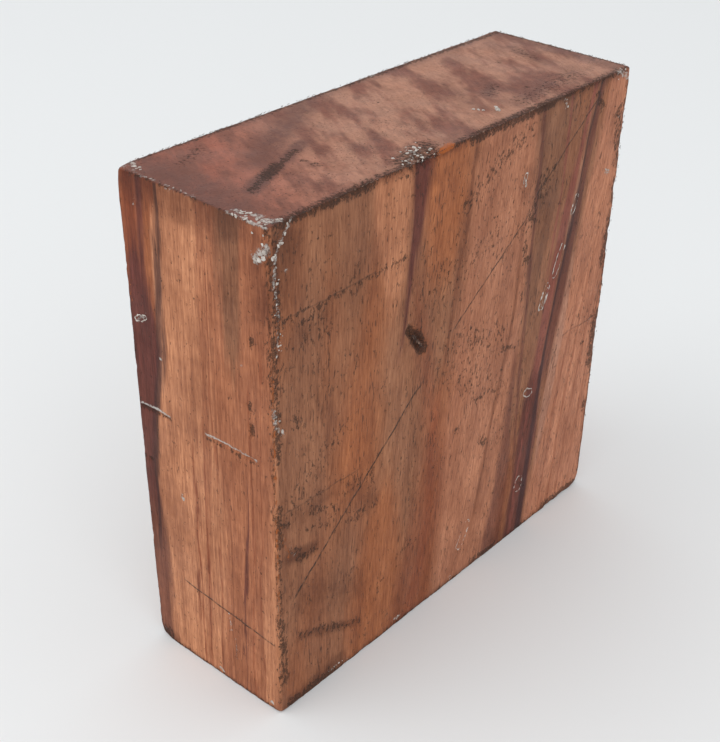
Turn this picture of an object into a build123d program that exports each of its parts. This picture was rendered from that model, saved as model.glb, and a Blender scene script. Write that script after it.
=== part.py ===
"""A bowl turning blank: one sawn block of dense hardwood, standing on an end-grain face.

The grain runs up the block (+Z), so the foot and the top are end grain and the other four
faces are side grain. The broad front face looks along -Y and the narrow left face along -X.
The saw left the faces a little out of square, handling wore the arrises and broke some
corners, and a knot, a chipped arris and two saw nicks are sunk into the wood.

Lengths are in millimetres. While the block is worked, x is measured from the left face,
y from the front face and z from the foot. At the end the block moves so that the middle
of its box's underside is the origin.
"""

import os

from build123d import *

# The block's three sizes, each through the middle of the two faces that it joins.
WIDTH = 152.4
THICKNESS = 50.1
HEIGHT = 152.7

# How far a sawn face drifts outward from square, over the whole of its length each way.
LEFT_OUT_TO_BACK = 0.36
LEFT_OUT_TO_TOP = 1.23
RIGHT_OUT_TO_BACK = 0.12
RIGHT_OUT_TO_TOP = 0.70
BACK_OUT_TO_RIGHT = -1.70
BACK_OUT_TO_TOP = 1.34
TOP_OUT_TO_RIGHT = 0.49
TOP_OUT_TO_BACK = 0.05

# Waste that the saw takes off every face but the foot and the front.
SAW_WASTE = 6.0

# Radius that handling has worn on the upright arrises, and on those round the two ends.
UPRIGHT_WEAR = 0.9
END_WEAR = 0.6

# Broken corners: how far along each of its three arrises the break reaches.
FRONT_RIGHT_FOOT_BREAK = 3.2
FRONT_LEFT_FOOT_BREAK = 2.0
BACK_LEFT_FOOT_BREAK = 3.0
FRONT_RIGHT_TOP_BREAK = 1.8
BACK_LEFT_TOP_BREAK = 1.6

# Knot on the front face: a bark-edged hollow, half as deep as it is wide. It rises to the
# left, at this many degrees from level.
KNOT_FROM_LEFT = 56.0
KNOT_UP = 99.5
KNOT_LENGTH = 12.5
KNOT_WIDTH = 2.8
KNOT_LEAN = 48.0

# Chip out of the arris between the front face and the top.
CHIP_FROM_LEFT = 57.0
CHIP_LENGTH = 14.0
CHIP_WIDTH = 2.6

# Saw nicks across the left face, half as deep as they are wide: how far back the middle of
# each is, its height and its length.
NICK_WIDTH = 0.8
BACK_NICK_FROM_FRONT = 44.3
BACK_NICK_UP = 84.0
BACK_NICK_LENGTH = 11.0
FRONT_NICK_FROM_FRONT = 15.0
FRONT_NICK_UP = 85.5
FRONT_NICK_LENGTH = 18.5


def rough_block():
    """The block before the saw squares it: waste on the left, the right, the back and the top."""
    start = Pos(-SAW_WASTE, 0, 0)
    size_x = WIDTH + 2 * SAW_WASTE
    size_y = THICKNESS + SAW_WASTE
    size_z = HEIGHT + SAW_WASTE
    return start * Box(size_x, size_y, size_z, align=(Align.MIN, Align.MIN, Align.MIN))


def saw(block, middle, outward, lean):
    """Cut along a plane through middle, and keep the side that outward points away from.

    lean is the slope of the cut face: how far it moves outward for each millimetre along
    each axis.
    """
    cut = Plane(origin=middle, z_dir=outward - lean)
    return split(block, bisect_by=cut, keep=Keep.BOTTOM)


def sawn_block():
    """The block with its four leaning faces cut. The foot and the front are the true ones."""
    half_x = WIDTH / 2
    half_y = THICKNESS / 2
    half_z = HEIGHT / 2
    block = rough_block()
    left_lean = Vector(0, LEFT_OUT_TO_BACK / THICKNESS, LEFT_OUT_TO_TOP / HEIGHT)
    block = saw(block, Vector(0, half_y, half_z), Vector(-1, 0, 0), left_lean)
    right_lean = Vector(0, RIGHT_OUT_TO_BACK / THICKNESS, RIGHT_OUT_TO_TOP / HEIGHT)
    block = saw(block, Vector(WIDTH, half_y, half_z), Vector(1, 0, 0), right_lean)
    back_lean = Vector(BACK_OUT_TO_RIGHT / WIDTH, 0, BACK_OUT_TO_TOP / HEIGHT)
    block = saw(block, Vector(half_x, THICKNESS, half_z), Vector(0, 1, 0), back_lean)
    top_lean = Vector(TOP_OUT_TO_RIGHT / WIDTH, TOP_OUT_TO_BACK / THICKNESS, 0)
    return saw(block, Vector(half_x, half_y, HEIGHT), Vector(0, 0, 1), top_lean)


def wear_arrises(block):
    """Round the four upright arrises first, then the rings round the foot and the top."""
    upright = block.edges().filter_by(lambda edge: abs(edge.tangent_at(0.5).Z) > 0.9)
    block = fillet(upright, UPRIGHT_WEAR)
    rings = block.faces().sort_by(Axis.Z)
    foot_ring = rings[0].edges()
    block = fillet(foot_ring, END_WEAR)
    top_ring = block.faces().sort_by(Axis.Z)[-1].edges()
    return fillet(top_ring, END_WEAR)


def break_corner(block, side_x, side_y, side_z, reach):
    """Split a corner off: the break crosses each of its three arrises at reach from the tip.

    side_x, side_y and side_z are -1 or 1, and say which corner of the block it is.
    """
    middle = Vector(WIDTH / 2, THICKNESS / 2, HEIGHT / 2)
    half = Vector(side_x * WIDTH / 2, side_y * THICKNESS / 2, side_z * HEIGHT / 2)
    tip = middle + half
    crossing = tip - Vector(side_x * reach, 0, 0)
    cut = Plane(origin=crossing, z_dir=Vector(side_x, side_y, side_z))
    return split(block, bisect_by=cut, keep=Keep.BOTTOM)


def tapered_bar(length, width):
    """A round bar along X that tapers to a point over a third of its length at each end.

    Its seam points along +Z, which is kept outside the wood.
    """
    taper_start = length / 6
    left_tip = (-length / 2, 0)
    right_tip = (length / 2, 0)
    outline = Polyline(left_tip, (-taper_start, width / 2), (taper_start, width / 2), right_tip, close=True)
    return Rot(90, 0, 0) * revolve(make_face(outline), Axis.X)


def cut_knot(block):
    """The knot's hollow in the front face."""
    front = Plane(origin=(KNOT_FROM_LEFT, 0, KNOT_UP), x_dir=(1, 0, 0), z_dir=(0, -1, 0))
    lean = Rot(0, 0, 180 - KNOT_LEAN)
    return block - front * lean * tapered_bar(KNOT_LENGTH, KNOT_WIDTH)


def cut_chip(block):
    """The chip along the arris between the front face and the top."""
    return block - Pos(CHIP_FROM_LEFT, 0, HEIGHT) * tapered_bar(CHIP_LENGTH, CHIP_WIDTH)


def cut_nick(block, from_front, up, length):
    """A level nick in the left face. It follows the face's lean."""
    out = LEFT_OUT_TO_BACK * (from_front / THICKNESS - 0.5) + LEFT_OUT_TO_TOP * (up / HEIGHT - 0.5)
    face = Plane(origin=(-out, from_front, up), x_dir=(0, -1, 0), z_dir=(-1, 0, 0))
    return block - face * tapered_bar(length, NICK_WIDTH)


def stand_at_origin(block):
    """Move the block so that its box's underside is centred on the origin."""
    box = block.bounding_box()
    middle = box.center()
    return Pos(-middle.X, -middle.Y, -box.min.Z) * block


def make_blank():
    """The whole blank, as one solid."""
    block = wear_arrises(sawn_block())
    block = break_corner(block, 1, -1, -1, FRONT_RIGHT_FOOT_BREAK)
    block = break_corner(block, -1, -1, -1, FRONT_LEFT_FOOT_BREAK)
    block = break_corner(block, -1, 1, -1, BACK_LEFT_FOOT_BREAK)
    block = break_corner(block, 1, -1, 1, FRONT_RIGHT_TOP_BREAK)
    block = break_corner(block, -1, 1, 1, BACK_LEFT_TOP_BREAK)
    block = cut_knot(block)
    block = cut_chip(block)
    block = cut_nick(block, BACK_NICK_FROM_FRONT, BACK_NICK_UP, BACK_NICK_LENGTH)
    block = cut_nick(block, FRONT_NICK_FROM_FRONT, FRONT_NICK_UP, FRONT_NICK_LENGTH)
    return stand_at_origin(block)


os.makedirs("parts", exist_ok=True)
blank = make_blank()
blank.label = "blank"
export_step(blank, "parts/blank.step")
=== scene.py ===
# %% [markdown]
# # A bowl turning blank
# A wood turner buys a bowl as a square slab, sawn from the log and sealed with wax so that it dries slowly.
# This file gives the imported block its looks: the worn and chipped shape, the hardwood, the wax and the
# dirt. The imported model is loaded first, because every place below is worked out from it.

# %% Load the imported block
from math import radians

import bpy
import numpy as np
from mathutils import Matrix, Vector


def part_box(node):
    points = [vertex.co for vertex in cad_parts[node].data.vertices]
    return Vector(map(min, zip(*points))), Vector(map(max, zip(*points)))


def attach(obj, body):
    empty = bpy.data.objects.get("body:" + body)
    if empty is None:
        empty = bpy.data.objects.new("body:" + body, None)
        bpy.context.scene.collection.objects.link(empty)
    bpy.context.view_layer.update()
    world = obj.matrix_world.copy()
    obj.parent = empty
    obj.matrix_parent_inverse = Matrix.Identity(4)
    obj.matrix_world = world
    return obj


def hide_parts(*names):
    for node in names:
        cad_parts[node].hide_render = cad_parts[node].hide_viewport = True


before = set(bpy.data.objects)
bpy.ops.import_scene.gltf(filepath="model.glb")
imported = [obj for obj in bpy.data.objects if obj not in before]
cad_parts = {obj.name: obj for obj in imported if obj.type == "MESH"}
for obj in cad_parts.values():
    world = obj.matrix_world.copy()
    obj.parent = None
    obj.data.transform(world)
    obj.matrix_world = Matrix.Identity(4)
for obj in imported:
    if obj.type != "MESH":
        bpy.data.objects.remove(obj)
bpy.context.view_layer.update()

MM = 0.001
low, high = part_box("blank")
print("block box in mm:", [round(side / MM, 1) for side in high - low])

# %% [markdown]
# ## Where things are
# A maker measures a board from one corner. Here x runs to the right from the left face, y goes back from
# the front face, and z rises from the foot, all in millimetres. The left face leans out as it rises, so x
# is counted from a line a little inside the box.

# %% The measuring corner
LEFT_FACE_LEAN = 0.8
CORNER = np.array(low) / MM + [LEFT_FACE_LEAN, 0, 0]
# The faces lean, so the box measures a little more than the faces do.
WIDE_LEAN = 1.2
THICK_LEAN = 0.7
TALL_LEAN = 0.2
WIDE = (high.x - low.x) / MM - WIDE_LEAN
THICK = (high.y - low.y) / MM - THICK_LEAN
TALL = (high.z - low.z) / MM - TALL_LEAN


def to_metres(points):
    """Points measured in mm from the corner, as metres in the model's frame."""
    return (np.asarray(points, float) + CORNER) * MM


print("corner at", CORNER.round(2), "mm; faces about", round(WIDE, 1), round(THICK, 1), round(TALL, 1))

# %% [markdown]
# ## Uneven things
# Wood is never even, so the shape needs a smooth random field. Random values sit on the points of a lattice
# that fills space, and between them the field is a smooth mix of the eight nearest. Fine lattices added to
# a coarse one give detail of several sizes. The values come from a fixed seed, so each run is the same.

# %% Smooth random fields
LATTICE = 32


def uneven(points, cell, seed, layers=2):
    """A smooth random value from -1 to 1 at each point.

    Each layer mixes the lattice values at the eight points round (point / cell), with weights 3t^2 - 2t^3
    in each direction, and each next layer is half as large in cell and in height.
    """
    total = np.zeros(len(points))
    height_sum = 0.0
    for layer in range(layers):
        values = np.random.default_rng(seed + 101 * layer).uniform(-1, 1, (LATTICE, LATTICE, LATTICE))
        scaled = points / (np.asarray(cell, float) / 2 ** layer)
        base = np.floor(scaled).astype(int)
        t = scaled - base
        t = t * t * (3 - 2 * t)
        mixed = np.zeros(len(points))
        for corner in np.ndindex(2, 2, 2):
            index = (base + corner) % LATTICE
            weight = np.prod(np.where(corner, t, 1 - t), axis=1)
            mixed += weight * values[index[:, 0], index[:, 1], index[:, 2]]
        total += mixed / 2 ** layer
        height_sum += 1 / 2 ** layer
    return total / height_sum * 1.6


def ramp(value, start, end):
    """0 before start, 1 after end, and 3t^2 - 2t^3 between them."""
    t = np.clip((value - start) / (end - start), 0, 1)
    return t * t * (3 - 2 * t)


def stroke(points, start, end, reach):
    """A mark along a straight stroke: 1 on the line from start to end, 0 at reach from it.

    The distance is to the nearest point of the line, and the mark is (1 - (distance / reach)^2)^2.
    """
    start, end = np.asarray(start, float), np.asarray(end, float)
    along = end - start
    share = np.clip((points - start) @ along / max(along @ along, 1e-9), 0, 1)
    distance = np.linalg.norm(points - start - share[:, None] * along, axis=1)
    return np.clip(1 - (distance / reach) ** 2, 0, 1) ** 2


# %% [markdown]
# ## The block
# The real block is six saw cuts, a little out of square, whose arrises were worn, bruised and chipped in
# the shed. One closed skin is made from six grids that share their border points. Lines crowd near the
# arrises, where the chips are, and spread over the flat faces, where the finish gives the detail.

# %% The sawn faces
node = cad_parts["blank"]
node.data.calc_loop_triangles()
corners_of = np.array([triangle.vertices for triangle in node.data.loop_triangles])
spots = np.array([vertex.co for vertex in node.data.vertices]) / MM - CORNER
edge_a = spots[corners_of[:, 1]] - spots[corners_of[:, 0]]
edge_b = spots[corners_of[:, 2]] - spots[corners_of[:, 0]]
crosses = np.cross(edge_a, edge_b)
areas = np.linalg.norm(crosses, axis=1)
middles = spots[corners_of].mean(axis=1)


def sawn_face(outward):
    """The plane of the flat face that looks outward: the mean normal of its triangles, by area, and its
    distance from the corner along that normal."""
    facing = crosses @ outward > 0.9995 * areas
    normal = crosses[facing].sum(axis=0)
    normal /= np.linalg.norm(normal)
    return normal, (middles[facing] @ normal * areas[facing]).sum() / areas[facing].sum()


FACES = {(axis, side): sawn_face(np.eye(3)[axis] * side) for axis in range(3) for side in (-1, 1)}


def sawn_corner(side_x, side_y, side_z):
    """Where three sawn faces would meet if their arrises were sharp."""
    planes = [FACES[0, side_x], FACES[1, side_y], FACES[2, side_z]]
    return np.linalg.solve([normal for normal, _ in planes], [distance for _, distance in planes])


SIDES = (-1, 1)
SHARP = np.array([[[sawn_corner(a, b, c) for c in SIDES] for b in SIDES] for a in SIDES])
print("top front arris runs", SHARP[0, 0, 1].round(1), "to", SHARP[1, 0, 1].round(1))

# %% [markdown]
# A corner of the skin is one row of whole numbers: how many lines along, back and up. Where two grids meet,
# their rows are equal, so the grids are sewn by keeping each row once.

# %% Lines and grids
LINES = (165, 66, 165)
EDGE_CROWDING = 1.8
EDGE_REACH = 2.2
FINE_PLACES = ([56.0], [], [85.0, 100.0])
FINE_CROWDING = 1.1
FINE_REACH = 5.5
SIZES = np.array([WIDE, THICK, TALL])


def graded_lines(length, count, fine_places):
    """Places of count + 1 lines over length, at equal steps of their summed density.

    The density is 1 + crowding * exp(-distance / reach) from either end, plus a bell curve at each fine
    place.
    """
    fine = np.linspace(0, length, 20001)
    density = 1 + EDGE_CROWDING * np.exp(-np.minimum(fine, length - fine) / EDGE_REACH)
    for middle in fine_places:
        density += FINE_CROWDING * np.exp(-((fine - middle) / FINE_REACH) ** 2)
    summed = np.cumsum(density)
    summed = (summed - summed[0]) / (summed[-1] - summed[0])
    return np.interp(np.linspace(0, 1, count + 1), summed, fine)


PLACES = [graded_lines(*row) for row in zip(SIZES, LINES, FINE_PLACES)]


def face_grid(axis, side):
    """The rows of line numbers of one face, and its quads seen from outside."""
    first, second = [other for other in range(3) if other != axis]
    a, b = np.meshgrid(np.arange(LINES[first] + 1), np.arange(LINES[second] + 1), indexing="ij")
    rows = np.zeros((*a.shape, 3), int)
    rows[..., first], rows[..., second] = a, b
    rows[..., axis] = LINES[axis] if side > 0 else 0
    quads = np.stack([rows[:-1, :-1], rows[1:, :-1], rows[1:, 1:], rows[:-1, 1:]], axis=2)
    turned = (side > 0) == (axis == 1)
    return quads[:, :, ::-1].reshape(-1, 4, 3) if turned else quads.reshape(-1, 4, 3)


grids = {key: face_grid(*key) for key in FACES}
all_rows = np.concatenate([quads.reshape(-1, 3) for quads in grids.values()])
rows, numbers = np.unique(all_rows, axis=0, return_inverse=True)
quad_points = numbers.reshape(-1, 4)
flat = np.stack([PLACES[axis][rows[:, axis]] for axis in range(3)], axis=1)
print(len(rows), "points and", 2 * len(quad_points), "triangles in the block's skin")

# %% [markdown]
# ## Wear, bruises and chips
# Handling rounds an arris by under a millimetre, and unevenly, because wood gives way more in its soft
# layers. Each point is held inside a box that is smaller by the wear, then pushed back out by the wear,
# which rounds the edges of a cube. Every dent is a stroke with a depth, so the same list could be cut with
# a gouge.

# %% Wear of the arrises
ARRIS_WEAR = 0.26
LEAST_WEAR = 0.12
MOST_WEAR = 4.5
CORNER_REACH = 3.0
CORNER_WEAR = {
    (WIDE, 0, 0): 2.2,
    (0, 0, 0): 1.0,
    (0, THICK, 0): 2.0,
    (WIDE, THICK, 0): 1.3,
    (WIDE, 0, TALL): 0.5,
    (0, THICK, TALL): 1.1,
    (0, 0, TALL): 0.4,
}
wear = ARRIS_WEAR * (1 + 0.6 * uneven(flat, 4.0, 3, layers=3))
for place, amount in CORNER_WEAR.items():
    near = np.exp(-(np.linalg.norm(flat - place, axis=1) / CORNER_REACH) ** 2)
    wear += amount * near
wear = np.clip(wear, LEAST_WEAR, MOST_WEAR)[:, None]
held = np.clip(flat, wear, SIZES - wear)
push = flat - held
length = np.linalg.norm(push, axis=1, keepdims=True)
outward = push / np.maximum(length, 1e-9)
block = held + wear * outward
print("arris wear from", round(float(wear.min()), 2), "to", round(float(wear.max()), 2), "mm")

# %% Dents
# Each row is the stroke's start and end, its reach and its depth.
DENTS = [
    # The knot.
    ((52.2, 0, 104.2), (56, 0, 99.8), 2.1, 1.1),
    ((55, 0, 101), (58.2, 0, 96.6), 2.8, 1.4),
    # The chip in the top front arris.
    ((50, 0, TALL), (56, 3, TALL), 2.6, 0.9),
    ((54, 0, TALL), (62, 1, TALL), 2.4, 1),
    # Bruises along the arrises.
    ((10, 0, TALL), (20, 0, TALL), 1.4, 0.28),
    ((24, 0, TALL), (34, 0, TALL), 1.6, 0.38),
    ((78, 0, TALL), (91, 0, TALL), 1.6, 0.36),
    ((96, 0, TALL), (108, 0, TALL), 1.5, 0.36),
    ((118, 0, TALL), (124, 0, TALL), 1.3, 0.35),
    ((WIDE, 0, 127), (WIDE, 0, 138), 1.6, 0.22),
    ((WIDE, 0, 112), (WIDE, 0, 115), 1.5, 0.3),
    ((WIDE, 0, 92), (WIDE, 0, 100), 1.6, 0.25),
    ((WIDE, 0, 55), (WIDE, 0, 66), 1.7, 0.25),
    ((WIDE, 0, 31), (WIDE, 0, 33), 1.4, 0.25),
    ((133, 0, 0), (146, 0, 0), 1.5, 0.25),
    ((0, 0, 143), (0, 0, 150), 1.6, 0.45),
    ((0, 0, 95), (0, 0, 104), 1.3, 0.35),
    ((0, 0, 60), (0, 0, 71), 1.2, 0.3),
    ((0, 0, 12), (0, 0, 29), 1.2, 0.25),
    # Nicks and pits in the left face.
    ((0, 39, 84), (0, 49.5, 83.6), 0.9, 0.45),
    ((0, 6.5, 85.6), (0, 24, 85.2), 0.9, 0.45),
    ((0, 6.3, 121.5), (0, 6.3, 120.5), 1.3, 0.5),
    ((0, 7.8, 102), (0, 7.6, 100), 1.1, 0.4),
    ((0, 7.3, 96), (0, 7.3, 93), 1.3, 0.5),
    ((0, 48, 66.6), (0, 50, 66.4), 0.9, 0.4),
    # Shallow bruises in the front face.
    ((8, 0, 53.5), (14, 0, 52.3), 2.6, 0.25),
    ((14, 0, 22), (32, 0, 13.5), 1.8, 0.2),
]
RAGGED_DEPTH = 0.15
RAGGED_REACH = 0.6
SAW_RIPPLE = 0.03
SLOW_WAVE = 0.05
crumble = 1 + 0.55 * uneven(flat, 1.6, 11)
sink = np.zeros(len(flat))
for start, end, reach, depth in DENTS:
    sink = np.maximum(sink, depth * stroke(flat, start, end, reach) * crumble)
to_arris = np.sort(np.minimum(flat, SIZES - flat), axis=1)[:, 1]
ragged = np.exp(-to_arris / RAGGED_REACH) * RAGGED_DEPTH * np.clip(uneven(flat, 1.8, 17, layers=3), 0, 1)
saw_waves = SAW_RIPPLE * uneven(flat, (60.0, 60.0, 5.0), 23) + SLOW_WAVE * uneven(flat, 30.0, 29)
rise = saw_waves - sink - ragged
# The foot may sink but not rise, so that the block stands on the floor.
rise = np.where(outward[:, 2] < -0.5, np.minimum(rise, 0), rise)
block += outward * rise[:, None]
print("deepest dent", round(float(sink.max()), 2), "mm")

# %% [markdown]
# The cube becomes the sawn block by mixing its eight sharp corners: a point that is a share of the way
# along, back and up takes that share of each corner.

# %% Lean the faces and make the mesh


def lean_out(points):
    """Points of the even block, moved to where they lie in the sawn one."""
    share = points / SIZES
    mix = np.ones((len(points), 2, 2, 2))
    for axis in range(3):
        part = share[:, axis]
        shape = [len(points), 1, 1, 1]
        shape[axis + 1] = 2
        mix = mix * np.stack([1 - part, part], axis=1).reshape(shape)
    return np.einsum("nabc,abcd->nd", mix, SHARP)


def make_mesh(name, points, polygons):
    """A mesh object from an array of points, in mm from the corner, and an array of polygons."""
    mesh = bpy.data.meshes.new(name)
    mesh.vertices.add(len(points))
    mesh.vertices.foreach_set("co", to_metres(points).astype(np.float32).ravel())
    mesh.loops.add(polygons.size)
    mesh.loops.foreach_set("vertex_index", polygons.astype(np.int32).ravel())
    mesh.polygons.add(len(polygons))
    mesh.polygons.foreach_set("loop_start", np.arange(0, polygons.size, polygons.shape[1], dtype=np.int32))
    mesh.update(calc_edges=True)
    mesh.validate()
    mesh.polygons.foreach_set("use_smooth", np.ones(len(polygons), bool))
    piece = bpy.data.objects.new(name, mesh)
    bpy.context.scene.collection.objects.link(piece)
    return piece


def store(piece, name, values):
    """Keep one number at each point of a piece, which its finish can read by name."""
    piece.data.attributes.new(name, "FLOAT", "POINT").data.foreach_set("value", values.astype(np.float32))


wood_block = make_mesh("wood_block", lean_out(block), quad_points)
print("made", wood_block.name, "with", len(wood_block.data.polygons), "quads")

# %% [markdown]
# Other programs read the finish from a flat picture, so the skin needs a map without overlaps. The six
# faces are laid out as rectangles at one scale: the two broad faces side by side, and the four narrow ones
# under them.

# %% Lay the faces out flat
# Each face has the axes that run across and up the sheet, then its left and its lower side there.
GAP = 2.0
SHEET = 2 * WIDE + 3 * GAP
LAYOUT = {
    (1, -1): (0, 2, GAP, GAP),
    (1, 1): (0, 2, WIDE + 2 * GAP, GAP),
    (0, -1): (2, 1, GAP, TALL + 2 * GAP),
    (0, 1): (2, 1, WIDE + 2 * GAP, TALL + 2 * GAP),
    (2, -1): (0, 1, GAP, TALL + THICK + 3 * GAP),
    (2, 1): (0, 1, WIDE + 2 * GAP, TALL + THICK + 3 * GAP),
}
parts = []
for key, quads in grids.items():
    across, up, left, bottom = LAYOUT[key]
    sideways = PLACES[across][quads[..., across]] + left
    parts.append(np.stack([sideways, PLACES[up][quads[..., up]] + bottom], -1))
flat_map = np.concatenate(parts).reshape(-1, 2) / SHEET
layer = wood_block.data.uv_layers.new(name="OFBake")
layer.data.foreach_set("uv", flat_map.astype(np.float32).ravel())
print("map spans", flat_map.min(axis=0).round(3), "to", flat_map.max(axis=0).round(3))

# %% [markdown]
# ## Dirt, wax and bare wood
# A blank that has lain in a shed is marked by hand: soft stains, dark grime in the bruises and along the
# arrises, white crumbs of sealing wax, and orange wood where a splinter has lately come away. The dark
# marks also carry painted shadow, a dark line under the wax lip of each of the two nicks in the left face,
# and the deeper dents are made darker by their depth. Each mark is a stroke with a reach and a strength,
# kept at the skin's points. The finish breaks up their edges later with fine patterns, because a mark's
# place belongs to this block, but its ragged edge is like any other.

# %% Marks on the block
TOP = TALL + TALL_LEAN


def front_strokes(rows):
    """Strokes on the front face, given as x, z of the start, x, z of the end, reach and strength."""
    return [((x, 0, z), (x_end, 0, z_end), *amounts) for x, z, x_end, z_end, *amounts in rows]


def left_strokes(rows):
    """Strokes on the left face, given as y, z of the start, y, z of the end, reach and strength."""
    return [((0, y, z), (0, y_end, z_end), *amounts) for y, z, y_end, z_end, *amounts in rows]


def top_strokes(rows):
    """Strokes on the top, given as x, y of the start, x, y of the end, reach and strength."""
    return [((x, y, TOP), (x_end, y_end, TOP), *amounts) for x, y, x_end, y_end, *amounts in rows]


# A full row is the stroke's start and end, its reach and its strength.
STAINS = [
    # The front face.
    *front_strokes([
        (0, 132, 5, 148, 12, 0.7), (3, 120, 20, 123, 7, 0.4), (5, 54.5, 14, 52.5, 4.2, 0.9),
        (30, 64, 38, 55, 7, 0.5), (12, 38, 32, 28, 12, 0.5), (9, 24, 20, 19, 3.5, 0.55),
        (20, 19, 33, 13, 3.2, 0.65), (8, 100, 30, 90, 14, 0.18), (0, 66, 26, 68, 6, 0.4),
        (104, 132, 112, 122, 9, 0.5), (60, 146, 100, 149, 6, 0.35), (148, 137, 152, 122, 6.5, 0.4),
        (152, 104, 151, 60, 6, 0.35), (51, 98, 49, 112, 6, 0.3), (90, 10, 104, 3, 8, 0.4),
        (4, 1, 24, 3, 6.5, 0.7), (24, 0, 150, 0, 3.6, 0.6), (0, TOP, 150, TOP, 4.2, 0.75),
    ]),
    # The left face.
    *left_strokes([
        (50, 2, 44, 1, 5, 0.7), (48, 0, 2, 0, 2.6, 0.6), (10, 140, 14, 118, 6, 0.3),
        (3, 150, 3, 120, 4, 0.3),
    ]),
    # The top, by where it is along and back.
    *top_strokes([
        (2, 14, 5, 44, 15, 0.95), (10, 36, 24, 50, 9, 0.4), (24, 28, 62, 48, 9, 0.85),
        (50, 38, 60, 46, 6, 0.4), (12, 17, 25, 22.5, 4.6, 1.15), (25, 22.5, 42, 29, 4.6, 0.95),
        (2, 17, 8, 24, 7, 0.5), (94, 12, 99, 27, 6, 0.55), (103, 16, 111, 21, 5, 0.75),
        (104, 7, 122, 9, 7, 0.6), (128, 3, 138, 12, 6.5, 0.5), (137, 20, 142, 37, 5, 0.65),
        (120, 40, 126, 48, 6, 0.4), (136, 36, 143, 48, 5, 0.5), (149, 4, 150, 47, 6.5, 0.7),
        (45, 4, 70, 3, 6, 0.45), (30, 49, 148, 49, 4, 0.5), (6, 1, 148, 1, 3, 0.5),
    ]),
    # The faces that are seldom looked at.
    ((30, THICK, 118), (44, THICK, 104), 9, 0.5),
    ((96, THICK, 34), (112, THICK, 30), 8, 0.5),
    ((60, THICK, 1), (86, THICK, 2), 9, 0.5),
    ((10, THICK, 140), (20, THICK, 120), 12, 0.4),
    ((WIDE, 14, 118), (WIDE, 20, 122), 7, 0.5),
    ((WIDE, 30, 40), (WIDE, 34, 52), 7, 0.5),
    ((0, THICK, 0), (WIDE, THICK, 0), 4, 0.6),
    ((0, THICK, TOP), (WIDE, THICK, TOP), 4, 0.6),
]
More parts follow.
